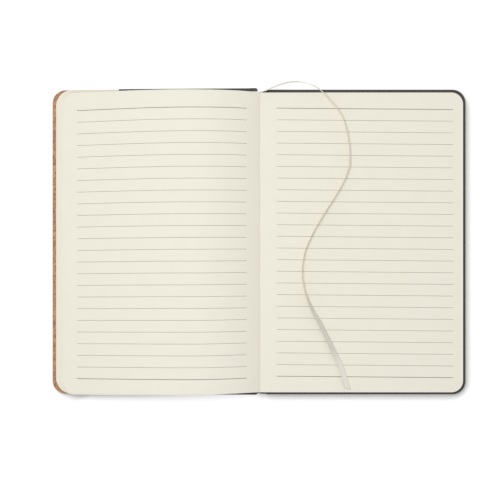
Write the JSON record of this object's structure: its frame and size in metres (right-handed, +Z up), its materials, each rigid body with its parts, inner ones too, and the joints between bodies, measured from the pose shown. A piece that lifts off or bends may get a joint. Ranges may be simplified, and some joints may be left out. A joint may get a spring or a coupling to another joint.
{
  "type": "ruled notebook",
  "caption": "Hard-cover ruled notebook lying open near its front, with a flat satin bookmark ribbon and a cork strip along the front cover's fore-edge; its covers turn at the spine.",
  "frame": {"origin": "on the table, in the middle of the open covers across the spread and in the middle of the notebook's height", "axes": "+X across the spread from the front cover to the back cover, +Y along the spine towards the head, +Z up from the table"},
  "size_m": [0.2846, 0.2151, 0.0247],
  "materials": {
    "leaves": "matte",
    "lining": "matte",
    "card": "matte",
    "bookcloth": "matte",
    "satin_ribbon": "satin",
    "board": "matte",
    "cork": "matte",
    "endpaper": "matte"
  },
  "bodies": {
    "block": {"page_block": "leaves", "spine_lining": "lining", "spine_card": "card", "spine_cloth": "bookcloth", "ribbon": "satin_ribbon"},
    "front_cover": {"front_board": "board", "front_cloth": "bookcloth", "front_cork": "cork", "front_pastedown": "endpaper", "turned_leaves": "leaves"},
    "back_cover": {"back_board": "board", "back_cloth": "bookcloth", "back_pastedown": "endpaper"}
  },
  "joints": [
    {"name": "front_hinge", "type": "hinge", "parent": "block", "child": "front_cover", "pos_m": [-0.00008, 0, 0.0091], "axis": [0, 1, 0], "range_deg": [0, 182.57], "deforming": ["turned_leaves", "ribbon"]},
    {"name": "back_hinge", "type": "hinge", "parent": "block", "child": "back_cover", "pos_m": [-0.00008, 0, 0.0027], "axis": [0, 1, 0], "range_deg": [0, 170]}
  ]
}
